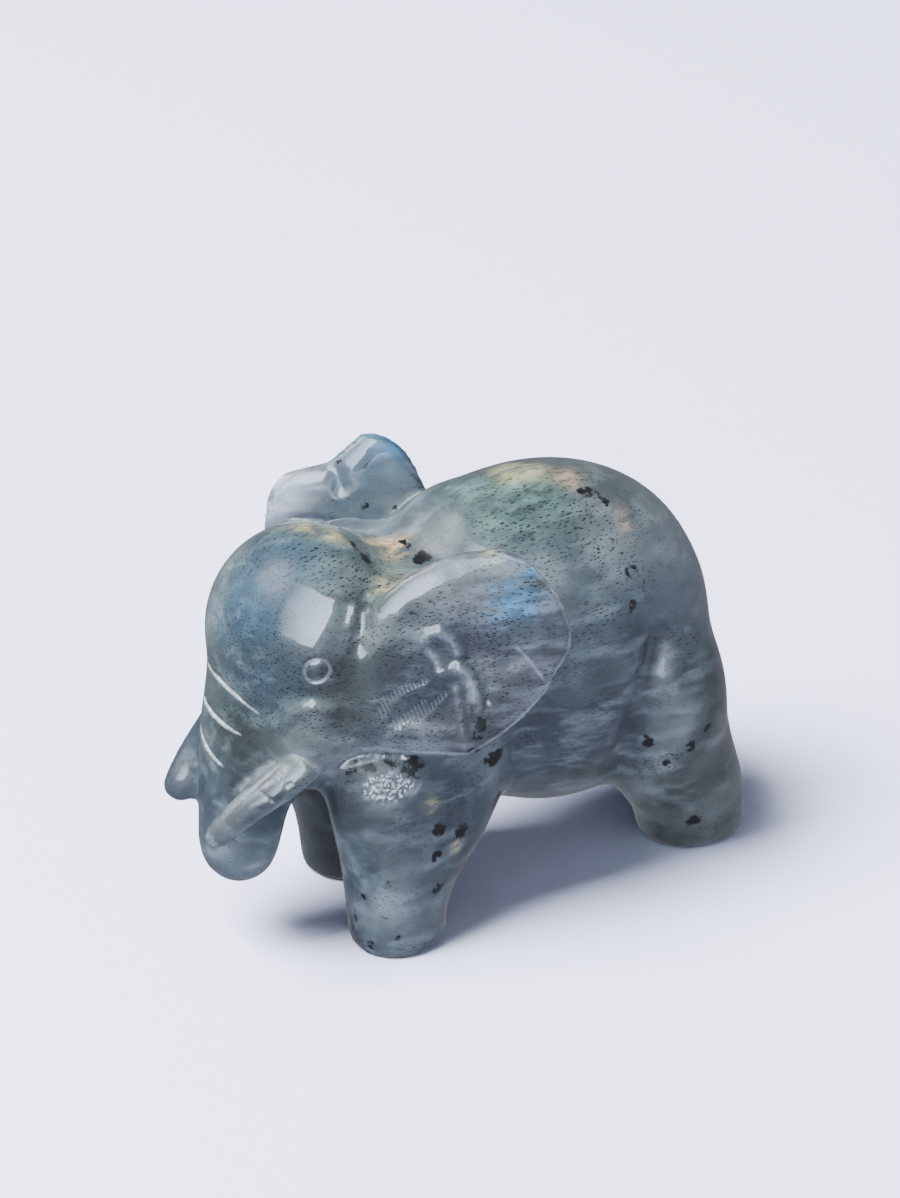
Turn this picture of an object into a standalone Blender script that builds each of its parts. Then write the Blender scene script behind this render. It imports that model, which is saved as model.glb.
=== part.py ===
"""A small polished stone elephant, carved from one block.

It stands on its four feet and faces -X, with its left side towards -Y.
Lengths are metres. The pose and the carving are shares of the figure's
own length, so every place below is given in hundredths of LENGTH.
"""

import math

import bmesh
import bpy
import numpy as np
from mathutils import Euler, Matrix, Vector

# Driving sizes
LENGTH = 0.038  # from the tusk tips to the rump
SHARE = LENGTH / 100.0  # one hundredth of the figure's length
GRAIN = 0.00030  # cell of the voxel grid that fuses the forms into one body
FACETS = 9200  # triangles left on the finished body

# How round the forms are drawn
ROUND_SIDES = 32
BALL_RINGS = 20
STEPS_PER_STATION = 6
CAP_RINGS = 5

BODY_SOFTNESS = 70  # rounds of smoothing where legs, head and barrel meet
DETAIL_SOFTNESS = 6  # rounds of smoothing on the ears, tusks and tail

# Creases on each flank, as (x, z) in hundredths of the length
THIGH_CREASE = [(27.4, 46.0), (24.9, 38.8), (22.8, 30.0), (22.0, 23.0)]
THIGH_CREASE_WIDTH = 3.0
THIGH_CREASE_DEPTH = 2.2
SHOULDER_CREASE = [(4.0, 42.0), (3.6, 35.0), (2.4, 29.0)]
SHOULDER_CREASE_WIDTH = 3.0
SHOULDER_CREASE_DEPTH = 1.2

EAR_THICKNESS = 2.3  # half of it, in hundredths, away from the rim
GROUND_BLOCK = (200.0, 100.0, 30.0)  # the block under the floor that trims the soles

STONE_COLOUR = (0.19, 0.25, 0.27, 1.0)
STONE_ROUGHNESS = 0.08


def clear_scene():
    for item in list(bpy.data.objects):
        bpy.data.objects.remove(item, do_unlink=True)


def spot(x, y, z):
    """A place given in hundredths of the figure's length."""
    return Vector((x, y, z)) * SHARE


def between(values, t):
    """A smooth value at t along a row of tuples, through every one of them."""
    last = len(values) - 1
    i = min(int(t), last - 1)
    u = t - i
    a, b, c, d = (values[min(max(j, 0), last)] for j in (i - 1, i, i + 1, i + 2))
    return tuple(
        0.5 * (2 * q + (r - p) * u + (2 * p - 5 * q + 4 * r - s) * u * u
               + (3 * q - p - 3 * r + s) * u ** 3)
        for p, q, r, s in zip(a, b, c, d)
    )


def ball(bm, centre, radii, turn=(0.0, 0.0, 0.0)):
    """An ellipsoid; centre and radii in hundredths, turn in degrees."""
    turned = Euler([math.radians(a) for a in turn]).to_matrix().to_4x4()
    place = Matrix.Translation(spot(*centre)) @ turned @ Matrix.Diagonal((*spot(*radii), 1.0))
    bmesh.ops.create_uvsphere(bm, u_segments=ROUND_SIDES, v_segments=BALL_RINGS, radius=1.0, matrix=place)


def ring(bm, centre, along, across, deep, wide):
    """One closed ring of edges square to the direction along."""
    side = (across - along * across.dot(along)).normalized()
    face = side.cross(along)
    frame = Matrix((side, face, along)).transposed().to_4x4()
    place = Matrix.Translation(centre) @ frame @ Matrix.Diagonal((wide, deep, 1.0, 1.0))
    made = bmesh.ops.create_circle(bm, segments=ROUND_SIDES, radius=1.0, matrix=place)["verts"]
    return made, list({edge for vert in made for edge in vert.link_edges})


def limb(bm, stations, across=(0.0, 1.0, 0.0), cap=0.6):
    """A closed tapering form along stations of (x, y, z, deep, wide).

    deep and wide are half sizes in hundredths; wide is measured along the
    direction across. The ends are rounded over cap times the end's half size.
    """
    count = (len(stations) - 1) * STEPS_PER_STATION
    rows = [between(stations, n / STEPS_PER_STATION) for n in range(count + 1)]
    path = [spot(*row[:3]) for row in rows]
    rings = []
    for n, row in enumerate(rows):
        along = (path[min(n + 1, count)] - path[max(n - 1, 0)]).normalized()
        rings.append((path[n], along, row[3] * SHARE, row[4] * SHARE))

    def rounded_end(end, way):
        centre, along, deep, wide = end
        reach = cap * min(deep, wide)
        made = []
        for n in range(1, CAP_RINGS + 1):
            angle = math.radians(84.0) * n / CAP_RINGS
            shrink = math.cos(angle)
            made.append((centre + along * way * reach * math.sin(angle), along, deep * shrink, wide * shrink))
        return made

    rings = rounded_end(rings[0], -1.0)[::-1] + rings + rounded_end(rings[-1], 1.0)
    loops = [ring(bm, centre, along, Vector(across), deep, wide) for centre, along, deep, wide in rings]
    for (_, first), (_, second) in zip(loops, loops[1:]):
        bmesh.ops.bridge_loops(bm, edges=first + second)
    for verts, _ in (loops[0], loops[-1]):
        bmesh.ops.contextual_create(bm, geom=verts)


def ear(bm, outline, middle, sheet):
    """An ear flap: outline points (x, z), and sheet(x, z) giving the y of its mid surface.

    The flap is a flattened ball drawn out to the outline, thick at its
    middle and thin at its rim.
    """
    closed = outline[-1:] + outline + outline[:2]
    centre = Vector(middle)
    curve = [between(closed, 1 + n / STEPS_PER_STATION) for n in range(len(outline) * STEPS_PER_STATION)]
    rim = sorted(
        (math.atan2(z - centre.y, x - centre.x), math.hypot(x - centre.x, z - centre.y)) for x, z in curve
    )
    turn = 2 * math.pi
    rim = [(rim[-1][0] - turn, rim[-1][1])] + rim + [(rim[0][0] + turn, rim[0][1])]

    def reach(angle):
        for (a, p), (b, q) in zip(rim, rim[1:]):
            if a <= angle <= b:
                return p + (q - p) * (angle - a) / (b - a)
        return rim[0][1]

    made = bmesh.ops.create_uvsphere(
        bm, u_segments=2 * ROUND_SIDES, v_segments=2 * BALL_RINGS, radius=1.0
    )["verts"]
    for vert in made:
        u, v, w = vert.co
        share = math.hypot(u, v)
        depth = math.copysign(abs(w) ** 0.6, w) * EAR_THICKNESS
        angle = math.atan2(v, u)
        far = share * reach(angle)
        x = centre.x + far * math.cos(angle)
        z = centre.y + far * math.sin(angle)
        vert.co = spot(x, sheet(x, z) + depth, z)


def draw_body(bm):
    """Barrel, shoulders, haunches and neck."""
    ball(bm, (19.5, 0.0, 40.3), (28.5, 22.5, 29.5))
    ball(bm, (13.2, 0.0, 44.0), (33.7, 21.0, 29.0))
    ball(bm, (3.5, 0.0, 44.0), (19.0, 20.0, 29.0))
    for side in (-1.0, 1.0):
        ball(bm, (33.5, side * 10.0, 31.0), (12.5, 13.4, 22.0), turn=(0.0, -10.0, 0.0))
        ball(bm, (-16.0, side * 10.8, 55.0), (15.0, 7.5, 12.0))
    limb(bm, [(4.0, 0.0, 52.0, 15.0, 15.0), (-12.0, 0.0, 52.0, 15.0, 14.0), (-24.0, 0.0, 54.0, 15.0, 13.0)])


def draw_legs(bm):
    """Each leg is a stump, broad where it leaves the body; no two feet stand level."""
    legs = (
        [(-12.0, -9.5, 36.0, 17.0, 9.3), (-14.7, -12.0, 24.0, 16.2, 9.2), (-18.2, -13.0, 10.0, 9.6, 8.4),
         (-18.3, -13.3, -1.0, 8.4, 7.9)],
        [(-12.0, 9.5, 36.0, 17.0, 9.3), (-13.6, 11.2, 24.0, 14.8, 9.0), (-14.0, 11.6, 10.0, 8.9, 8.2),
         (-13.8, 11.6, -1.0, 7.9, 7.7)],
        [(32.0, -10.5, 32.0, 13.5, 11.0), (37.0, -9.8, 18.0, 11.6, 10.4), (41.6, -9.0, 8.0, 10.2, 9.4),
         (42.9, -8.6, -1.0, 9.6, 9.0)],
        [(35.0, 10.5, 32.0, 12.6, 10.0), (41.5, 10.2, 18.0, 10.2, 9.2), (46.0, 10.0, 8.0, 8.8, 8.4),
         (47.5, 10.0, -1.0, 8.4, 8.0)],
    )
    for stations in legs:
        limb(bm, stations, cap=0.35)


def draw_head(bm):
    """Domed skull, cheeks, mouth and the stub of a trunk that hangs from the face."""
    ball(bm, (-28.0, 0.0, 56.2), (16.6, 16.0, 17.6))
    ball(bm, (-29.0, 0.0, 47.5), (15.0, 15.6, 11.5))
    for side in (-1.0, 1.0):
        ball(bm, (-31.0, side * 8.6, 43.2), (9.5, 7.6, 8.6))
    limb(bm, [(-33.0, 0.0, 50.0, 11.0, 12.5), (-37.3, 0.0, 39.0, 9.2, 10.3), (-39.3, 0.0, 29.5, 7.8, 8.6),
              (-41.0, 0.0, 18.2, 6.8, 7.5)], cap=1.0)
    limb(bm, [(-18.0, 0.0, 44.0, 10.0, 11.0), (-27.0, 0.0, 36.0, 8.5, 9.5), (-33.5, 0.0, 32.0, 6.0, 7.5)])


def draw_tusks(bm):
    """Short bars that lie along the sides of the trunk, with round tips in front of it."""
    limb(bm, [(-35.3, -12.6, 37.8, 3.0, 3.2), (-40.7, -12.0, 35.2, 3.0, 3.2), (-45.7, -10.6, 31.6, 2.8, 2.9),
              (-49.5, -8.6, 27.1, 2.4, 2.4)], cap=1.0)
    limb(bm, [(-33.0, 10.5, 39.5, 5.0, 2.6), (-38.0, 10.2, 35.3, 4.8, 2.6), (-43.5, 9.4, 30.0, 4.4, 2.6),
              (-47.2, 8.8, 26.4, 3.4, 2.4)], cap=1.0)


def draw_ears(bm):
    """The left ear lies back along the shoulder; the right one stands off, cupped towards the head."""

    def left_sheet(x, z):
        back = min(max(x + 30.0, 0.0) / 38.0, 1.2)
        low = max(56.0 - z, 0.0) / 20.0
        high = max(z - 58.0, 0.0) / 17.0
        return -(14.0 + 11.5 * back ** 1.1 + 2.0 * low ** 1.5 - 2.5 * high ** 1.5)

    left = [(-19.8, 69.2), (-13.9, 71.9), (-8.7, 73.2), (-4.4, 73.2), (0.2, 71.8), (5.9, 64.2), (8.1, 55.8),
            (6.5, 51.0), (4.7, 49.0), (4.3, 47.0), (2.4, 44.6), (-2.7, 40.3), (-9.6, 36.2), (-16.9, 37.6),
            (-28.0, 41.0), (-30.5, 52.0), (-26.0, 63.0)]
    ear(bm, left, (-10.0, 56.0), left_sheet)

    def right_sheet(x, z):
        return 21.0 - 0.30 * (x + 8.0) + 0.10 * (z - 60.0)

    right = [(-21.5, 62.0), (-18.0, 69.5), (-10.0, 71.0), (-3.5, 75.5), (3.0, 71.0), (6.5, 58.0), (2.0, 45.0),
             (-6.0, 40.0), (-16.0, 42.0), (-21.0, 50.0)]
    ear(bm, right, (-8.0, 58.0), right_sheet)


def draw_tail(bm):
    """A thin tail laid on the rump."""
    limb(bm, [(46.4, 5.0, 51.0, 2.0, 2.4), (48.6, 5.4, 43.0, 2.2, 2.1), (49.0, 5.8, 34.0, 2.0, 1.8),
              (48.4, 6.2, 27.0, 2.4, 2.5)], cap=1.0)


def stone():
    made = bpy.data.materials.new("polished_stone")
    made.use_nodes = True
    shader = made.node_tree.nodes["Principled BSDF"]
    shader.inputs["Base Color"].default_value = STONE_COLOUR
    shader.inputs["Roughness"].default_value = STONE_ROUGHNESS
    shader.inputs["Metallic"].default_value = 0.0
    made.diffuse_color = STONE_COLOUR
    return made


def ground_cutter():
    """A block below the floor that cuts the soles flat."""
    bm = bmesh.new()
    below = Matrix.Translation(spot(0.0, 0.0, -GROUND_BLOCK[2] / 2))
    bmesh.ops.create_cube(bm, size=1.0, matrix=below @ Matrix.Diagonal((*spot(*GROUND_BLOCK), 1.0)))
    mesh = bpy.data.meshes.new("ground_cutter")
    bm.to_mesh(mesh)
    bm.free()
    cutter = bpy.data.objects.new("ground_cutter", mesh)
    bpy.context.scene.collection.objects.link(cutter)
    cutter.hide_render = True
    cutter.display_type = "WIRE"
    return cutter


def triangles(thing):
    """How many triangles the object has, as its modifiers leave it."""
    shown = thing.evaluated_get(bpy.context.evaluated_depsgraph_get())
    mesh = shown.to_mesh()
    mesh.calc_loop_triangles()
    count = len(mesh.loop_triangles)
    shown.to_mesh_clear()
    return count


def fused(draws, name, softness, start=None):
    """Draws the forms, fuses them with the start mesh on a voxel grid and softens the joins."""
    bm = bmesh.new()
    for draw in draws:
        draw(bm)
    bmesh.ops.recalc_face_normals(bm, faces=bm.faces)
    if start:
        bm.from_mesh(start)
    mesh = bpy.data.meshes.new(name)
    bm.to_mesh(mesh)
    bm.free()
    thing = bpy.data.objects.new(name, mesh)
    bpy.context.scene.collection.objects.link(thing)
    fuse = thing.modifiers.new("fuse", "REMESH")
    fuse.mode = "VOXEL"
    fuse.voxel_size = GRAIN
    soften = thing.modifiers.new("soften", "SMOOTH")
    soften.factor = 0.5
    soften.iterations = softness
    shown = thing.evaluated_get(bpy.context.evaluated_depsgraph_get())
    result = bpy.data.meshes.new_from_object(shown)
    bpy.data.objects.remove(thing, do_unlink=True)
    return result


def groove(mesh, line, side, width, depth):
    """Presses a soft valley into one flank, along points (x, z); all in hundredths."""
    count = len(mesh.vertices)
    places = np.empty(count * 3)
    mesh.vertices.foreach_get("co", places)
    places = places.reshape(count, 3) / SHARE
    normals = np.empty(count * 3)
    mesh.vertices.foreach_get("normal", normals)
    facing = np.clip(normals.reshape(count, 3)[:, 1] * side, 0.0, 1.0)
    flank = places[:, (0, 2)]
    near = np.full(count, np.inf)
    for start, end in zip(np.array(line[:-1]), np.array(line[1:])):
        along = end - start
        share = np.clip((flank - start) @ along / (along @ along), 0.0, 1.0)
        near = np.minimum(near, np.linalg.norm(flank - start - share[:, None] * along, axis=1))
    near[places[:, 1] * side < 0.0] = np.inf
    places[:, 1] -= side * depth * facing * np.exp(-((near / width) ** 2))
    mesh.vertices.foreach_set("co", (places * SHARE).ravel())
    mesh.update()


def centre_over_origin(mesh):
    """Slides the figure along the floor until the middle of its box is over the origin."""
    places = np.empty(len(mesh.vertices) * 3)
    mesh.vertices.foreach_get("co", places)
    places = places.reshape(-1, 3)
    middle = (places.min(axis=0) + places.max(axis=0)) / 2.0
    mesh.transform(Matrix.Translation((-middle[0], -middle[1], 0.0)))


def carve_elephant():
    forms = fused((draw_body, draw_legs, draw_head), "forms", BODY_SOFTNESS)
    mesh = fused((draw_tusks, draw_ears, draw_tail), "elephant", DETAIL_SOFTNESS, start=forms)
    for side in (-1.0, 1.0):
        groove(mesh, THIGH_CREASE, side, THIGH_CREASE_WIDTH, THIGH_CREASE_DEPTH)
        groove(mesh, SHOULDER_CREASE, side, SHOULDER_CREASE_WIDTH, SHOULDER_CREASE_DEPTH)
    centre_over_origin(mesh)
    mesh.materials.clear()
    mesh.materials.append(stone())
    elephant = bpy.data.objects.new("elephant", mesh)
    bpy.context.scene.collection.objects.link(elephant)
    ratio = FACETS / triangles(elephant)
    thin_out = elephant.modifiers.new("thin_out", "DECIMATE")
    thin_out.ratio = ratio
    soles = elephant.modifiers.new("soles", "BOOLEAN")
    soles.operation = "DIFFERENCE"
    soles.object = ground_cutter()
    return elephant


clear_scene()
carve_elephant()
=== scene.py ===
"""The looks of a small elephant carved from labradorite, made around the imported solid.

The solid's own form is kept: it is refined, smoothed and then cut with the
fine tool marks that the carver left. Places on the figure are given in
hundredths of its length, counted from the middle of its box on the floor.
"""

import math

import bmesh
import bpy
import numpy as np
from mathutils import Matrix, Vector, noise
from mathutils.bvhtree import BVHTree


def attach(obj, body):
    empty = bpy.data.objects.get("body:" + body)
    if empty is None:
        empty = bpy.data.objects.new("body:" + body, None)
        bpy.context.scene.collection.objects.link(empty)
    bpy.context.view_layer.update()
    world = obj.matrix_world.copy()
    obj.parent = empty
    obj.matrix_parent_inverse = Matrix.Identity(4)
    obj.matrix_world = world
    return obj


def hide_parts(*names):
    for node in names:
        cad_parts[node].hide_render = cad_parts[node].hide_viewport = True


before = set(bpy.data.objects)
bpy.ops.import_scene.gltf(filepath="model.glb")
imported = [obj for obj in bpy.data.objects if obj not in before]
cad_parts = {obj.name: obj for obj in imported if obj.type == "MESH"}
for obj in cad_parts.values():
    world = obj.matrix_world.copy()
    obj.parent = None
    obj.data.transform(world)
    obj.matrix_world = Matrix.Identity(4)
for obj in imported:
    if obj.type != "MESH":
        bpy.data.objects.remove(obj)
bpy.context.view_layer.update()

MM = 0.001
SHARE = 0.38 * MM  # one hundredth of the figure's length

# The camera stands in front of the left side and looks down on the figure.
CAMERA_TURN = math.radians(-31.0)
CAMERA_TILT = math.radians(30.0)
CAMERA_DISTANCE = 916.7 * SHARE
CAMERA_LOOKS_AT = (1.77, 6.27, 48.5)
NEAREST_SEEN = 0.01  # metres
SENSOR = 36.0
# The photograph's long side and its focal length, both in its pixels
LONG_SIDE_PIXELS = 1198
FOCAL_PIXELS = 5500

FLOOR_RADIUS = 1.2
FLOOR_SIDES = 64
LIT_HEIGHT = 45.0  # the lights face the figure at this height
WINDOW_LEAN = math.radians(-28.0)

# Fineness of the finished surface
WELD = 0.001 * MM
CELL = 0.29 * MM
POLISH_ROUNDS = 10
POLISH_STEP = 0.5
FINER_NEAR_MARKS = ((1.1, 1.0), (0.2, 0.65))  # margin round a mark, and the widest mark it is for
CUT_REACH = 0.8
RING_REACH = 0.4
COMB_REACH = 0.9

# Thickness in millimetres: up to the first, stone lets most light through, and
# from the second on it is as cloudy as the body
CLEAR_UP_TO = 0.9
CLOUDY_FROM = 3.4
JUST_INSIDE = 0.05
SPREAD_ROUNDS = 8

# Cuts of the carving wheel across the front of the trunk, from the far side to the near one
TRUNK_CUT_WIDTH = 0.55
TRUNK_CUT_DEPTH = 0.6
TRUNK_CUTS = (
    [(-42.9, 8.5, 50.6), (-44.6, 5.8, 51.0), (-45.8, -0.2, 51.0), (-45.3, -4.1, 50.1),
     (-43.0, -8.7, 47.8)],
    [(-45.6, 5.4, 44.9), (-46.9, 0.6, 44.6), (-46.7, -2.9, 44.1), (-45.3, -6.4, 43.4)],
    [(-46.9, 4.6, 39.9), (-47.8, 1.6, 38.7), (-48.0, -2.0, 37.4), (-47.3, -4.0, 36.7)],
)

EYE = (-35.6, 14.5, 56.6)
EYE_RADIUS = 2.1
EYE_BULGE = 0.2
EYE_RING_WIDTH = 0.24
EYE_RING_DEPTH = 0.3
EYE_RING_WHITE = 0.35

# Soft forms: line, half width, depth pressed in (raised where negative), and how
# white the wheel left it
SOFT_FORMS = (
    # edges, root and cross cuts of the left tusk
    ([(-39.8, -12.8, 41.6), (-43.4, -11.8, 38.0), (-48.5, -11.0, 34.2), (-52.0, -9.3, 29.9)], 0.5, 0.35, 0.2),
    ([(-41.1, -11.2, 40.8), (-44.5, -8.4, 36.6), (-47.2, -5.2, 32.2)], 0.8, 0.5, 0.1),
    ([(-39.8, -12.8, 41.6), (-38.3, -14.0, 40.9), (-37.0, -15.0, 39.6), (-35.3, -14.9, 37.6)],
     0.5, 0.45, 0.3),
    ([(-42.8, -12.7, 38.3), (-41.4, -15.2, 36.7)], 0.35, 0.3, 0.4),
    ([(-42.0, -12.7, 38.7), (-40.7, -15.2, 37.0)], 0.3, 0.25, 0.3),
    ([(-45.6, -12.9, 36.2), (-44.0, -14.7, 34.5)], 0.35, 0.25, 0.3),
    # soft ridge from the trunk to the cheek, and the hollow between head and ear
    ([(-42.2, -10.0, 45.0), (-39.3, -12.5, 48.5), (-36.4, -14.1, 49.7), (-31.3, -15.7, 48.4)],
     1.6, -0.7, 0.0),
    ([(-24.0, -12.5, 67.0), (-27.0, -14.8, 63.0), (-28.8, -15.8, 58.0)], 1.4, 0.9, 0.0),
    ([(-26.5, -12.5, 66.0), (-29.5, -14.5, 62.0)], 1.0, -0.35, 0.0),
    # the crease in the far ear and the lip round its lower edge
    ([(-14.5, 21.5, 72.5), (-11.5, 21.1, 69.8), (-10.7, 19.8, 65.4)], 1.2, 0.7, 0.0),
    ([(-21.8, 22.6, 62.0), (-19.3, 22.0, 62.5), (-16.0, 20.7, 62.0), (-10.0, 19.0, 60.0)], 0.6, 0.4, 0.1),
    # crisp bottom of the creases behind the shoulder and in front of the thigh
    ([(-0.3, -18.0, 35.4), (0.5, -16.2, 30.1), (2.0, -13.0, 21.6)], 0.7, 0.5, 0.0),
    ([(25.7, -19.4, 48.7), (24.2, -19.4, 44.0), (22.4, -20.0, 39.7), (21.1, -18.9, 31.2)], 0.7, 0.5, 0.0),
    ([(25.7, 19.4, 48.7), (24.2, 19.4, 44.0), (22.4, 20.0, 39.7), (21.1, 18.9, 31.2)], 0.7, 0.5, 0.0),
    # long facet edge down the front of the left foreleg
    ([(-30.6, -12.0, 30.0), (-30.6, -12.4, 20.0), (-28.6, -12.0, 9.0)], 0.6, -0.35, 0.1),
    # the deep gap under the lower edge of the left ear
    ([(-32.0, -12.8, 36.2), (-28.7, -15.2, 38.2), (-24.9, -17.2, 38.9), (-20.4, -18.9, 37.6)],
     0.7, 1.1, 0.0),
)

# The same marks are cut in both ears, given by their x and z; then as above
EAR_FORMS = (
    # the two raised scrolls with the hollows and folds beside them
    ([(-19.0, 58.2), (-18.0, 60.4), (-16.4, 60.7), (-14.6, 59.4), (-13.5, 57.4), (-13.1, 55.2)],
     0.9, -0.75, 0.3),
    ([(-18.4, 58.0), (-17.0, 55.8), (-16.3, 53.5)], 0.6, 0.5, 0.45),
    ([(-14.5, 53.0), (-13.3, 53.7), (-11.7, 52.3), (-11.1, 50.1), (-10.6, 47.3), (-10.7, 45.2)],
     0.9, -0.7, 0.3),
    ([(-13.9, 51.0), (-13.4, 46.6), (-13.1, 42.3), (-12.5, 38.3)], 0.8, -0.4, 0.1),
    ([(-12.2, 56.5), (-10.4, 53.0), (-9.2, 49.5), (-8.8, 46.0)], 0.9, 0.5, 0.0),
    # nick
    ([(-4.2, 56.6), (-2.0, 53.5), (0.8, 48.7)], 0.22, 0.25, 0.55),
    # broad hollow across the ear, and the swelling below it
    ([(-23.0, 63.0), (-17.0, 58.5), (-8.0, 55.0), (-2.0, 53.5)], 3.2, 0.8, 0.0),
    ([(-25.0, 44.5), (-18.0, 42.0), (-8.0, 41.0)], 2.0, -0.4, 0.0),
    # fine lip just inside the rim
    ([(-27.0, 41.0), (-24.8, 40.5), (-18.8, 38.8), (-11.9, 37.7), (-8.3, 39.6), (-4.9, 41.4),
      (-2.0, 43.6), (1.7, 47.1), (3.5, 51.8), (4.8, 54.1), (5.3, 57.1), (3.3, 64.2), (-1.0, 70.3),
      (-6.3, 72.5), (-11.0, 72.4)], 0.28, 0.15, 0.4),
)

# Rows of short strokes, side by side like the teeth of a comb
EAR_COMBS = (
    [(-25.6, 47.6), (-25.0, 49.6), (-22.2, 51.2), (-18.7, 52.2)],
    [(-20.7, 45.6), (-18.1, 47.3), (-15.5, 49.6)],
    [(-23.4, 45.2), (-21.0, 46.7), (-19.0, 48.5)],
)
COMB_PITCH = 0.68
COMB_DEPTH = 0.14
COMB_WHITE = 0.24
EAR_SURFACES = ((-1.0, 16.5), (1.0, 18.5))  # side, and how far out the outer face begins

# The patch of chips that the wheel left unpolished under the left ear: middle and radii
ROUGH_PATCH = ((-24.5, -18.0, 33.0), (4.6, 4.0, 2.3))
CHIP_DEPTH = 0.3
CHIPS_PER_HUNDREDTH = 2.2

# Flashes of colour inside the stone: colour, strength, and spots given by middle and radius
FLASHES = {
    "blue_flash": ("#4aa0c8", 0.95, [
        ((-3.9, -23.5, 64.3), 4.0), ((-3.8, -21.1, 72.1), 2.0), ((-0.5, -22.8, 69.5), 2.0),
        ((-3.0, 20.0, 72.0), 3.6)]),
    "gold_flash": ("#d6cb86", 0.7, [
        ((-15.3, -1.7, 67.1), 2.8), ((-17.8, -0.4, 68.3), 2.0), ((11.7, 1.2, 72.7), 3.8),
        ((-2.0, 10.8, 69.0), 2.6), ((-25.3, -2.0, 72.6), 2.0), ((-27.9, 1.1, 73.2), 2.4),
        ((-6.0, -20.2, 72.8), 2.0), ((-21.6, -11.5, 66.6), 1.6), ((-13.4, -20.8, 19.3), 1.1),
        ((-17.9, -20.4, 28.5), 1.1)]),
    "green_flash": ("#648c7e", 0.5, [
        ((3.8, -8.4, 69.9), 7.0), ((2.0, -0.3, 72.6), 5.0), ((9.8, -5.3, 71.7), 6.0),
        ((-19.0, -9.0, 66.0), 4.0)]),
    "peach_flash": ("#c9a586", 0.6, [
        ((18.6, -3.6, 71.3), 2.6), ((24.6, -11.5, 64.9), 2.2), ((-17.5, -12.0, 67.0), 2.4),
        ((-14.0, -1.0, 67.0), 3.6)]),
}

# Broad tints of the body, among them painted shade, painted sheen and painted light: colour, then groups of
# spots with the strength at their middles
HAZES = {
    # veils on rump, back and right ear, and fainter ones on the trunk tip and the left forefoot; those on the
    # rump and back are painted sheen, where a broad soft light would gleam
    "milky_and_sheen": ("#8b9898", [
        (0.45, [((22.0, -13.0, 62.0), 8.0), ((32.0, -10.0, 57.0), 10.0), ((4.0, -15.0, 60.0), 5.0),
                ((-20.5, 22.0, 65.0), 6.0)]),
        (0.22, [((-46.5, -5.6, 18.4), 6.0), ((-23.0, -20.0, 8.0), 7.0)])]),
    "blue_haze": ("#2c4a60", [
        (0.6, [((-40.0, -5.0, 66.0), 10.0), ((-34.0, -3.0, 70.0), 8.0), ((-40.0, -8.0, 54.0), 7.0),
               ((-8.0, 20.0, 70.0), 7.0)])]),
    # painted shade: deep on the far foreleg, which hardly any light reaches, then weaker on the left foreleg,
    # trunk, cheek and shoulder, where it is partly painted shade and partly the stone's greener tone
    "shade_and_green_stone": ("#171c15", [
        (0.85, [((-22.5, 8.0, 8.0), 11.0), ((-22.5, 9.0, 22.0), 11.0)]),
        (0.35, [((-24.0, -18.0, 26.0), 11.0), ((-46.0, -4.0, 42.0), 11.0),
                ((-36.0, -10.0, 50.0), 9.0), ((-15.0, -22.0, 42.0), 8.0)])]),
    # painted light on the front of the right ear, so thin that the pale floor would show through it
    "painted_light_through_ear": ("#e2e6f2", [
        (0.75, [((-18.8, 23.0, 66.3), 3.2), ((-20.0, 23.3, 64.0), 2.4)])]),
}

# Places where the needles crowd, and places where the polish is duller
CROWDING = 0.32
NEEDLED = [((-32.0, -6.0, 60.0), 20.0), ((-10.0, -22.0, 58.0), 17.0), ((10.0, -10.0, 66.0), 14.0)]
DULLNESS = 0.8
SATIN = [
    ((-13.5, -18.8, 70.6), 2.6), ((-10.0, -19.8, 71.3), 3.0), ((-6.0, -21.0, 71.6), 3.0),
    ((-2.5, -22.0, 70.6), 2.6), ((-25.5, -15.5, 64.6), 2.0), ((-40.0, -13.5, 40.0), 3.0),
    ((-44.0, -12.5, 37.0), 2.5), ((26.7, -20.6, 40.7), 3.5),
]
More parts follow.
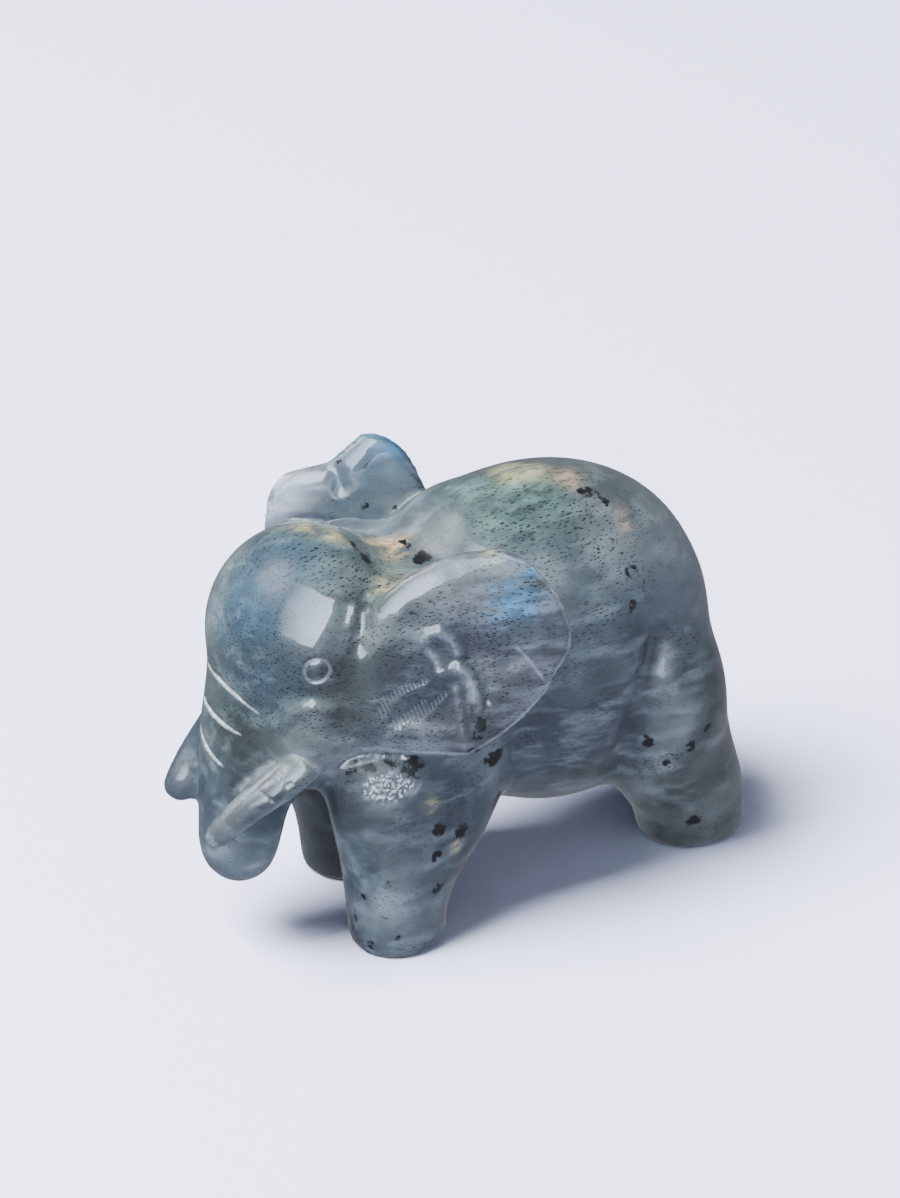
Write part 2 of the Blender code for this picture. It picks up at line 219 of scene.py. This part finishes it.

# Black specks and clots of mineral in the stone, and dark painted shadow in the gap under the left ear
INCLUSIONS_AND_SHADE = [
    # back and rump
    ((19.1, -6.2, 70.6), 1.2), ((20.2, -7.0, 70.0), 1.2), ((21.3, -7.8, 69.2), 1.2),
    ((22.6, -8.8, 68.1), 1.1), ((22.8, -16.7, 58.9), 1.3), ((21.1, -19.4, 54.1), 1.1),
    # left hind leg
    ((24.4, -20.0, 27.4), 1.3), ((31.7, -22.5, 25.3), 1.3), ((28.0, -20.8, 22.4), 0.9),
    ((34.8, -22.5, 28.0), 0.9), ((35.5, -17.4, 6.7), 1.6),
    # left shoulder and foreleg
    ((-2.7, -16.5, 22.9), 2.0), ((-4.4, -17.9, 32.5), 2.0), ((-5.0, -18.0, 33.0), 1.6),
    ((-12.2, -20.6, 21.7), 1.7), ((-16.9, -21.0, 23.7), 1.6), ((-17.3, -21.2, 18.8), 1.2),
    ((-16.9, -21.0, 12.8), 1.4), ((-25.7, -19.3, 9.0), 0.9), ((-28.6, -13.0, 4.2), 1.1),
    ((-27.4, -16.9, 2.5), 0.9), ((-28.7, -14.3, 7.3), 1.0), ((-25.0, -19.0, 15.5), 1.0),
    ((-22.5, -20.0, 17.5), 0.9), ((-28.0, -16.0, 12.0), 0.8), ((-24.0, -19.5, 4.5), 0.9),
    # neck
    ((-11.5, -2.0, 66.9), 1.6), ((-11.0, -5.9, 65.9), 1.7), ((-21.9, -4.4, 70.5), 1.5),
    ((-22.2, -4.6, 70.8), 1.2), ((-21.3, -6.1, 69.3), 1.4),
    # left ear, and painted shadow in the gap under it
    ((-11.0, -22.6, 46.5), 1.0), ((-10.2, -23.1, 43.2), 1.5), ((-10.8, -23.0, 41.2), 1.1),
    ((-11.3, -22.8, 37.8), 1.4), ((-20.4, -18.6, 35.9), 2.6), ((-23.6, -17.4, 37.2), 2.4),
    ((-27.0, -15.9, 37.2), 2.0), ((-29.8, -14.4, 36.6), 1.7),
    # right ear
    ((-11.9, 20.4, 66.5), 0.8), ((-6.9, 19.3, 70.1), 0.6), ((-7.5, 18.4, 63.1), 0.7),
    ((-7.5, 21.5, 74.1), 0.6), ((-10.7, 21.3, 70.9), 0.6), ((-11.1, 20.5, 68.3), 0.6),
    ((-2.4, 16.9, 62.2), 0.6),
    # right side, which no view of the real one shows
    ((12.0, 17.0, 60.0), 1.5), ((30.0, 19.5, 40.0), 1.6), ((-13.0, 20.0, 14.0), 1.4),
]

# Everything inside the stone lies along its cleavage. Each kind of needle has its
# spacing in millimetres, its reach as a share of that, and its lean. They are drawn
# about 0.1 mm thick and 0.3 mm long, as coarse as they need to be to show.
GRAIN_LEAN = (0.5, 0.25, -0.5)
GRAIN_STRETCH = (1.0, 2.6, 3.4)
NEEDLE_STRETCH = (1.0, 3.0, 3.6)
NEEDLE_CORE = 0.75
NEEDLES = ((0.95, 0.18, GRAIN_LEAN), (0.72, 0.26, (0.7, 0.1, -0.2)), (0.48, 0.27, (0.3, 0.4, -0.8)))

TINT_SHARE = 0.35
# how strongly painted light pales the thin places
THIN_PALENESS = 0.2
PIT_DULLNESS = 0.7
REFRACTION = 1.56
DEPTH_COLOUR = (0.35, 0.50, 0.54, 1.0)
DEPTH_DENSITY = 500.0  # absorption per metre


def linear(code):
    """An sRGB hex colour as the linear values that a shader takes."""
    parts = [int(code[n:n + 2], 16) / 255.0 for n in (1, 3, 5)]
    return [p / 12.92 if p <= 0.04045 else ((p + 0.055) / 1.055) ** 2.4 for p in parts] + [1.0]


def polished_blank(solid):
    """The solid's form on a fine even net, with its facets smoothed away."""
    bm = bmesh.new()
    bm.from_mesh(solid.data)
    bmesh.ops.remove_doubles(bm, verts=bm.verts, dist=WELD)
    mesh = bpy.data.meshes.new("blank")
    bm.to_mesh(mesh)
    bm.free()
    mesh.materials.clear()
    blank = bpy.data.objects.new("blank", mesh)
    bpy.context.scene.collection.objects.link(blank)
    fine = blank.modifiers.new("fine", "REMESH")
    fine.mode = "VOXEL"
    fine.voxel_size = CELL
    polish = blank.modifiers.new("polish", "SMOOTH")
    polish.factor = POLISH_STEP
    polish.iterations = POLISH_ROUNDS
    shown = blank.evaluated_get(bpy.context.evaluated_depsgraph_get())
    result = bpy.data.meshes.new_from_object(shown)
    bpy.data.objects.remove(blank, do_unlink=True)
    return result


def read(mesh, what):
    """The places or normals of all vertices, one row for each."""
    values = np.empty(len(mesh.vertices) * 3)
    mesh.vertices.foreach_get(what, values)
    return values.reshape(-1, 3)


def distance_to(places, line):
    """How far each place is from a line, and how far along the line, 0 to 1, its nearest point is."""
    points = np.array(line, float)
    legs = np.linalg.norm(np.diff(points, axis=0), axis=1)
    starts = np.concatenate(([0.0], np.cumsum(legs)))
    near = np.full(len(places), np.inf)
    along = np.zeros(len(places))
    for n, leg in enumerate(legs):
        way = (points[n + 1] - points[n]) / leg
        share = np.clip((places - points[n]) @ way, 0.0, leg)
        gap = np.linalg.norm(places - points[n] - share[:, None] * way, axis=1)
        closer = gap < near
        near[closer] = gap[closer]
        along[closer] = (starts[n] + share[closer]) / starts[-1]
    return near, along


def swelling(places, line, width):
    """A rounded ridge along a line, 1 on the line, that dies away to its sides and at its ends."""
    near, along = distance_to(places, line)
    return np.exp(-((near / width) ** 2)) * np.clip(np.minimum(along, 1.0 - along) * 7.0 + 0.15, 0.0, 1.0)


def marked(places, margin, widest):
    """Which vertices lie within a margin of a mark that is narrower than the widest."""
    close = np.zeros(len(places), bool)
    for line, width, _, _ in SOFT_FORMS:
        if width < widest:
            close |= distance_to(places, line)[0] < width + margin
    for cut in TRUNK_CUTS:
        close |= distance_to(places, cut)[0] < CUT_REACH + margin
    for side in (-1.0, 1.0):
        from_rim = np.linalg.norm(places - np.array(EYE) * (1.0, side, 1.0), axis=1) - EYE_RADIUS
        close |= np.abs(from_rim) < RING_REACH + margin
    flat = places[:, (0, 2)]
    for side, out in EAR_SURFACES:
        on_ear = places[:, 1] * side > out
        for line, width, _, _ in EAR_FORMS:
            if width < widest:
                close |= on_ear & (distance_to(flat, line)[0] < width + margin)
        for line in EAR_COMBS:
            close |= on_ear & (distance_to(flat, line)[0] < COMB_REACH + margin)
    middle, radii = ROUGH_PATCH
    close |= np.linalg.norm((places - middle) / radii, axis=1) < 1.0
    return close


def refine(mesh, margin, widest):
    """Splits the faces close to the fine marks, so that they come out crisp."""
    close = marked(read(mesh, "co") / SHARE, margin, widest)
    bm = bmesh.new()
    bm.from_mesh(mesh)
    bm.verts.ensure_lookup_table()
    edges = [e for e in bm.edges if close[e.verts[0].index] and close[e.verts[1].index]]
    bmesh.ops.subdivide_edges(bm, edges=edges, cuts=1, use_grid_fill=True)
    bm.to_mesh(mesh)
    bm.free()


def press(shift, white, swell, depth, frost):
    """Presses a mark into the surface and leaves it as white as the wheel did."""
    shift -= depth * swell
    np.maximum(white, frost * swell, out=white)


def cut_trunk(places, shift, white):
    """Wheel cuts that start wide on the far side and run out to a point on the near one."""
    for cut in TRUNK_CUTS:
        near, along = distance_to(places, cut)
        width = TRUNK_CUT_WIDTH * np.sqrt(np.clip(1.0 - along ** 3, 0.04, 1.0))
        trough = np.clip(1.0 - near / width, 0.0, 1.0)
        shift -= TRUNK_CUT_DEPTH * trough
        np.maximum(white, np.clip(trough * 1.8, 0.0, 1.0), out=white)


def drill_eyes(places, shift, white):
    """A ring on each side of the head, left by a hollow drill, with a slightly rounded middle."""
    for side in (-1.0, 1.0):
        out = np.linalg.norm(places - np.array(EYE) * (1.0, side, 1.0), axis=1)
        ring = np.exp(-(((out - EYE_RADIUS) / EYE_RING_WIDTH) ** 2))
        dome = np.clip(1.0 - (out / (EYE_RADIUS * 0.9)) ** 2, 0.0, 1.0)
        shift += EYE_BULGE * dome - EYE_RING_DEPTH * ring
        np.maximum(white, EYE_RING_WHITE * ring, out=white)


def carve_ears(places, normals, shift, white):
    """Scrolls, folds, nick, lip and comb strokes on the outer face of both ears."""
    flat = places[:, (0, 2)]
    teeth = 0.5 + 0.5 * np.cos(2.0 * math.pi * (flat[:, 0] + 0.3 * flat[:, 1]) / COMB_PITCH)
    for side, out in EAR_SURFACES:
        on_ear = np.clip((places[:, 1] * side - out) * 2.0, 0.0, 1.0)
        on_ear = on_ear * np.clip(normals[:, 1] * side * 3.0, 0.0, 1.0)
        for line, width, depth, frost in EAR_FORMS:
            press(shift, white, on_ear * swelling(flat, line, width), depth, frost)
        for line in EAR_COMBS:
            near, along = distance_to(flat, line)
            swell = on_ear * np.exp(-((near / (1.0 - 0.5 * along)) ** 4))
            shift -= COMB_DEPTH * swell * (0.3 + 0.7 * teeth)
            np.maximum(white, COMB_WHITE * swell * teeth ** 2, out=white)


def chip_patch(places, shift, white):
    """Small white chips, densest in the middle of the rough patch."""
    middle, radii = ROUGH_PATCH
    inside = np.clip(1.3 - np.linalg.norm((places - middle) / radii, axis=1), 0.0, 1.0)
    there = inside > 0.0
    chips = np.array([noise.noise(Vector(p) * CHIPS_PER_HUNDREDTH) for p in places[there]])
    shift[there] -= CHIP_DEPTH * inside[there] * np.clip(chips * 3.0, 0.0, 1.0)
    white[there] = np.clip(inside[there] * 2.0, 0.0, 1.0) * np.clip(chips * 9.0 - 1.6, 0.0, 1.0)


def carve(mesh):
    """Cuts the marks and returns, for each vertex, how white and rough the wheel left it."""
    places = read(mesh, "co") / SHARE
    normals = read(mesh, "normal")
    white = np.zeros(len(places))
    shift = np.zeros(len(places))
    cut_trunk(places, shift, white)
    for line, width, depth, frost in SOFT_FORMS:
        press(shift, white, swelling(places, line, width), depth, frost)
    drill_eyes(places, shift, white)
    carve_ears(places, normals, shift, white)
    chip_patch(places, shift, white)
    places += normals * shift[:, None]
    places[:, 2] = np.maximum(places[:, 2], 0.0)  # nothing reaches below the floor
    mesh.vertices.foreach_set("co", (places * SHARE).ravel())
    mesh.update()
    return white


def clearness(mesh):
    """How clear the stone looks at each vertex, 1 where it is thin and 0 where it is thick."""
    places = read(mesh, "co") / MM
    inward = -read(mesh, "normal")
    tree = BVHTree.FromPolygons(places.tolist(), [tuple(p.vertices) for p in mesh.polygons])
    found = [tree.ray_cast(Vector(p + w * JUST_INSIDE), Vector(w))[3] for p, w in zip(places, inward)]
    thick = np.array([CLOUDY_FROM if t is None else t for t in found])
    clear = np.clip((CLOUDY_FROM - thick) / (CLOUDY_FROM - CLEAR_UP_TO), 0.0, 1.0)

    # Spread over the neighbouring vertices, so that it changes softly
    ends = np.empty(len(mesh.edges) * 2, int)
    mesh.edges.foreach_get("vertices", ends)
    first, second = ends.reshape(-1, 2).T
    count = np.bincount(ends, minlength=len(clear)) + 1.0
    for _ in range(SPREAD_ROUNDS):
        total = clear.copy()
        np.add.at(total, first, clear[second])
        np.add.at(total, second, clear[first])
        clear = total / count
    return clear


def spots(places, centres):
    """A soft spot round each centre, given as ((x, y, z), radius)."""
    total = np.zeros(len(places))
    for centre, radius in centres:
        out = np.linalg.norm(places - np.array(centre), axis=1)
        total = np.maximum(total, np.exp(-((out / radius) ** 2)))
    return total


def store(mesh, name, values):
    """Keeps one number for each vertex, for the material to read."""
    layer = mesh.attributes.new(name, "FLOAT", "POINT")
    layer.data.foreach_set("value", values.astype(np.float32))


def node(tree, kind, settings=(), links=()):
    """Adds one node with its settings and incoming links."""
    made = tree.nodes.new(kind)
    for name, value in dict(settings).items():
        if isinstance(name, int) or name in made.inputs.keys():
            made.inputs[name].default_value = value
        else:
            setattr(made, name, value)
    for name, source in dict(links).items():
        tree.links.new(source, made.inputs[name])
    return made


def ramp(tree, source, stops):
    """A colour or a grey that changes along the source; stops are (place, value)."""
    made = tree.nodes.new("ShaderNodeValToRGB")
    row = made.color_ramp.elements
    while len(row) < len(stops):
        row.new(0.5)
    for element, (place, value) in zip(row, stops):
        element.position = place
        element.color = value if isinstance(value, list) else [value, value, value, 1.0]
    tree.links.new(source, made.inputs["Fac"])
    return made.outputs["Color"]


def join(tree, value, socket):
    """Links a socket to an input, or sets the input to a plain value."""
    if isinstance(value, bpy.types.NodeSocket):
        tree.links.new(value, socket)
    else:
        socket.default_value = value


def blend(tree, share, first, second):
    """Two colours mixed by a share."""
    made = tree.nodes.new("ShaderNodeMix")
    made.data_type = "RGBA"
    join(tree, share, made.inputs["Factor"])
    join(tree, first, made.inputs[6])
    join(tree, second, made.inputs[7])
    return made.outputs[2]


def worked(tree, operation, first, second, clamp=False):
    """One step of arithmetic on two numbers or sockets."""
    made = node(tree, "ShaderNodeMath", {"operation": operation, "use_clamp": clamp})
    join(tree, first, made.inputs[0])
    join(tree, second, made.inputs[1])
    return made.outputs[0]


def between(tree, low, high, source):
    """A value that goes from low to high while the source goes from 0 to 1."""
    made = node(tree, "ShaderNodeMapRange", {"To Min": low, "To Max": high}, {"Value": source})
    return made.outputs["Result"]


def painted(tree, name):
    """One of the numbers that the mesh keeps for each vertex."""
    return node(tree, "ShaderNodeAttribute", {"attribute_name": name}).outputs["Fac"]


def stretched(tree, place, lean, stretch):
    """The place turned and stretched, so that a pattern on it is long one way."""
    made = node(tree, "ShaderNodeMapping", {"Rotation": lean, "Scale": stretch}, {"Vector": place})
    return made.outputs["Vector"]


def clouds(tree, place, size, detail, roughness=0.5, distortion=0.0):
    """A soft cloudy pattern about size millimetres across."""
    looks = {"Scale": 1.0 / (size * MM), "Detail": detail, "Roughness": roughness, "Distortion": distortion}
    return node(tree, "ShaderNodeTexNoise", looks, {"Vector": place}).outputs["Fac"]


def cloudy_body(tree, place, clear, veil):
    """Milky clouds over a slower drift from blue to green, with painted light making it paler where thin, and
    veils along the grain.
    """
    cloud = clouds(tree, place, 6.0, 3.0, distortion=0.8)
    body = ramp(tree, cloud, [(0.34, linear("#1c2427")), (0.45, linear("#2c373b")),
                              (0.55, linear("#404c4d")), (0.68, linear("#65716e"))])
    drift = clouds(tree, place, 15.0, 1.0)
    tint = ramp(tree, drift, [(0.40, linear("#30424f")), (0.52, linear("#3c4a48")),
                              (0.64, linear("#46503f"))])
    body = blend(tree, TINT_SHARE, body, tint)
    # painted light: paler where the stone is thin, as if light shone through it
    body = blend(tree, worked(tree, "MULTIPLY", clear, THIN_PALENESS), body, linear("#d3dce0"))
    return blend(tree, ramp(tree, veil, [(0.50, 0.0), (0.76, 0.4)]), body, linear("#8d9b9c"))


def with_flashes(tree, body, grain):
    """Blue, gold, green and peach flashes, broken up into streaks along the grain."""
    streaks = ramp(tree, clouds(tree, grain, 2.2, 4.0, roughness=0.65), [(0.40, 0.05), (0.58, 1.0)])
    for name, (colour, strength, _) in FLASHES.items():
        broken = worked(tree, "MULTIPLY", painted(tree, name), streaks)
        body = blend(tree, worked(tree, "MULTIPLY", broken, strength), body, linear(colour))
    return body


def with_needles(tree, body, place):
    """Fine dark needles, most of them on the head, the left ear and the back behind it."""
    crowd = worked(tree, "ADD", clouds(tree, place, 3.0, 4.0), painted(tree, "needled"))
    crowd_share = ramp(tree, crowd, [(0.46, 0.15), (0.76, 1.0)])
    for size, reach, lean in NEEDLES:
        way = stretched(tree, place, lean, NEEDLE_STRETCH)
        cells = node(tree, "ShaderNodeTexVoronoi", {"Scale": 1.0 / (size * MM)}, {"Vector": way})
        needle = ramp(tree, cells.outputs["Distance"], [(reach * NEEDLE_CORE, 1.0), (reach, 0.0)])
        body = blend(tree, worked(tree, "MULTIPLY", needle, crowd_share), body, linear("#05070a"))
    return body


def torn_inclusions_and_shade(tree, place):
    """How dark the black inclusions and the painted shadow under the left ear make each place; their edges
    are ragged.
    """
    ragged = ramp(tree, clouds(tree, place, 0.8, 4.0, roughness=0.65), [(0.38, 0.0), (0.60, 1.0)])
    torn = worked(tree, "MULTIPLY", painted(tree, "inclusion_and_shade"), ragged)
    return ramp(tree, torn, [(0.24, 0.0), (0.38, 1.0)])


def polished_labradorite():
    """Labradorite, a translucent grey-green feldspar, ground and tumbled to a glassy polish.

    The eye sees a cloudy body that lets light through its thin places, fine
    dark needles that lie much the same way, a few black inclusions, and blue and
    gold flashes where light meets the layers inside. Wheel cuts are white and rough.
    Some shade, sheen and light through the thin places are painted into the colour.
    """
    made = bpy.data.materials.new("polished_labradorite")
    made.use_nodes = True
    tree = made.node_tree
    shader = tree.nodes["Principled BSDF"]
    depth = node(tree, "ShaderNodeVolumeAbsorption", {"Color": DEPTH_COLOUR, "Density": DEPTH_DENSITY})
    tree.links.new(depth.outputs["Volume"], tree.nodes["Material Output"].inputs["Volume"])

    place = node(tree, "ShaderNodeTexCoord").outputs["Object"]
    grain = stretched(tree, place, GRAIN_LEAN, GRAIN_STRETCH)
    clear = painted(tree, "clear")
    veil = clouds(tree, grain, 4.0, 6.0, roughness=0.65)
    body = cloudy_body(tree, place, clear, veil)
    body = with_flashes(tree, body, grain)
    # broad tints, with painted shade, painted sheen and painted light among them
    for name, (colour, _) in HAZES.items():
        body = blend(tree, painted(tree, name), body, linear(colour))
    body = with_needles(tree, body, place)
    # black inclusions, and painted shadow in the gap under the left ear
    torn = torn_inclusions_and_shade(tree, place)
    body = blend(tree, torn, body, linear("#090d0e"))

    # Where the wheel cut, the stone is frosted white
    cut = painted(tree, "cut")
    frost = clouds(tree, place, 0.25, 2.0)
    white = worked(tree, "MULTIPLY", cut, ramp(tree, frost, [(0.35, 0.35), (0.60, 1.0)]))
    tree.links.new(blend(tree, white, body, linear("#bcc6c6")), shader.inputs["Base Color"])
    bumps = node(tree, "ShaderNodeBump", {"Distance": 0.05 * MM}, {"Height": frost, "Strength": white})
    tree.links.new(bumps.outputs["Normal"], shader.inputs["Normal"])
    tree.links.new(bumps.outputs["Normal"], shader.inputs["Coat Normal"])

    # The cloudy body scatters the light that passes through it, and the polish is a
    # clean coat over it, which is missing on the inclusions and the painted shadow and weak on the cuts
    tree.links.new(between(tree, 0.38, 0.6, cut), shader.inputs["Roughness"])
    polish = between(tree, 1.0, 0.25, cut)
    coat = worked(tree, "ADD", polish, worked(tree, "MULTIPLY", torn, -PIT_DULLNESS), clamp=True)
    keen = worked(tree, "SUBTRACT", 1.0, painted(tree, "satin"))
    tree.links.new(worked(tree, "MULTIPLY", coat, keen), shader.inputs["Coat Weight"])
    through = worked(tree, "MULTIPLY", between(tree, 0.3, 0.85, clear), polish)
    through = worked(tree, "MULTIPLY", through, ramp(tree, veil, [(0.42, 1.0), (0.60, 0.35)]))
    tree.links.new(through, shader.inputs["Transmission Weight"])

    shader.inputs["IOR"].default_value = REFRACTION
    shader.inputs["Coat IOR"].default_value = REFRACTION
    shader.inputs["Coat Roughness"].default_value = 0.04
    shader.inputs["Subsurface Weight"].default_value = 0.3
    shader.inputs["Subsurface Radius"].default_value = (1.0, 1.1, 1.2)
    shader.inputs["Subsurface Scale"].default_value = 1.0 * MM
    return made


def carved_elephant():
    """The one piece: the solid's form, polished, carved and marked with what its stone shows, and with some
    painted light and shade.
    """
    mesh = polished_blank(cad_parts["elephant"])
    for margin, widest in FINER_NEAR_MARKS:
        refine(mesh, margin, widest)
    white = carve(mesh)
    mesh.name = "carved_elephant"
    places = read(mesh, "co") / SHARE
    store(mesh, "cut", white)
    store(mesh, "clear", clearness(mesh))
    for name, (_, _, centres) in FLASHES.items():
        store(mesh, name, spots(places, centres))
    for name, (_, groups) in HAZES.items():
        store(mesh, name, sum(strength * spots(places, centres) for strength, centres in groups))
    store(mesh, "inclusion_and_shade", spots(places, INCLUSIONS_AND_SHADE))
    store(mesh, "needled", CROWDING * spots(places, NEEDLED))
    store(mesh, "satin", DULLNESS * spots(places, SATIN))
    mesh.materials.clear()
    mesh.materials.append(polished_labradorite())
    mesh.shade_smooth()
    piece = bpy.data.objects.new("carved_elephant", mesh)
    bpy.context.scene.collection.objects.link(piece)
    return piece


def matt_pale_board():
    """A matt, faintly blue board, on which the figure throws a soft shadow."""
    paint = bpy.data.materials.new("matt_pale_board")
    paint.use_nodes = True
    shader = paint.node_tree.nodes["Principled BSDF"]
    shader.inputs["Base Color"].default_value = linear("#e1e4ff")
    shader.inputs["Roughness"].default_value = 0.7
    return paint


def pale_floor():
    """A round floor far wider than the picture."""
    bm = bmesh.new()
    bmesh.ops.create_circle(bm, cap_ends=True, segments=FLOOR_SIDES, radius=FLOOR_RADIUS)
    mesh = bpy.data.meshes.new("pale_floor")
    bm.to_mesh(mesh)
    bm.free()
    mesh.materials.append(matt_pale_board())
    floor = bpy.data.objects.new("pale_floor", mesh)
    bpy.context.scene.collection.objects.link(floor)
    floor.visible_glossy = False  # its glare would hide the inside of the stone


def soft_light(name, direction, distance, size, power, colour):
    """A rectangular soft light that faces the figure."""
    lamp = bpy.data.lights.new(name, "AREA")
    lamp.shape = "RECTANGLE"
    lamp.size, lamp.size_y = size
    lamp.energy = power
    lamp.color = colour
    made = bpy.data.objects.new(name, lamp)
    away = Vector(direction).normalized()
    target = Vector((0.0, 0.0, LIT_HEIGHT * SHARE))
    made.location = target + away * distance
    made.rotation_euler = away.to_track_quat("Z", "Y").to_euler()
    bpy.context.scene.collection.objects.link(made)
    return made


def fade_across(lamp, left, right):
    """Makes a lamp grow from one brightness on its left to another on its right."""
    lamp.use_nodes = True
    tree = lamp.node_tree
    own_place = node(tree, "ShaderNodeNewGeometry").outputs["Parametric"]
    across = node(tree, "ShaderNodeSeparateXYZ", {}, {0: own_place}).outputs["X"]
    tree.links.new(between(tree, left, right, across), tree.nodes["Emission"].inputs["Strength"])


def studio():
    """An even pale surrounding, a window that only the polish shows, and an overhead light."""
    world = bpy.data.worlds.new("studio")
    bpy.context.scene.world = world
    world.use_nodes = True
    sky = world.node_tree.nodes["Background"]
    sky.inputs["Color"].default_value = linear("#e0e1f2")
    sky.inputs["Strength"].default_value = 0.3
    window = soft_light("window", direction=(-0.35, -0.77, 0.54), distance=0.42, size=(0.42, 0.48),
                        power=6.5, colour=(0.72, 0.86, 1.0))
    window.rotation_euler.rotate_axis("Z", WINDOW_LEAN)
    fade_across(window.data, left=0.05, right=1.7)
    window.visible_diffuse = False
    window.visible_transmission = False
    overhead = soft_light("overhead", direction=(-0.5, 0.1, 0.87), distance=0.6, size=(0.35, 0.35),
                          power=22.0, colour=(0.91, 0.94, 1.0))
    overhead.visible_glossy = False


def camera():
    """A long lens that sees the figure as the photograph does."""
    made = bpy.data.objects.new("camera", bpy.data.cameras.new("camera"))
    made.data.sensor_width = SENSOR
    made.data.lens = SENSOR * FOCAL_PIXELS / LONG_SIDE_PIXELS
    made.data.clip_start = NEAREST_SEEN
    turn, tilt = CAMERA_TURN, CAMERA_TILT
    back = Vector((math.sin(turn) * math.cos(tilt), -math.cos(turn) * math.cos(tilt), math.sin(tilt)))
    right = Vector((math.cos(turn), math.sin(turn), 0.0))
    up = back.cross(right)
    place = Vector(CAMERA_LOOKS_AT) * SHARE + back * CAMERA_DISTANCE
    made.matrix_world = Matrix.Translation(place) @ Matrix((right, up, back)).transposed().to_4x4()
    bpy.context.scene.collection.objects.link(made)
    bpy.context.scene.camera = made


elephant = carved_elephant()
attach(elephant, "root")
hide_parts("elephant")
pale_floor()
studio()
camera()

bpy.context.view_layer.update()
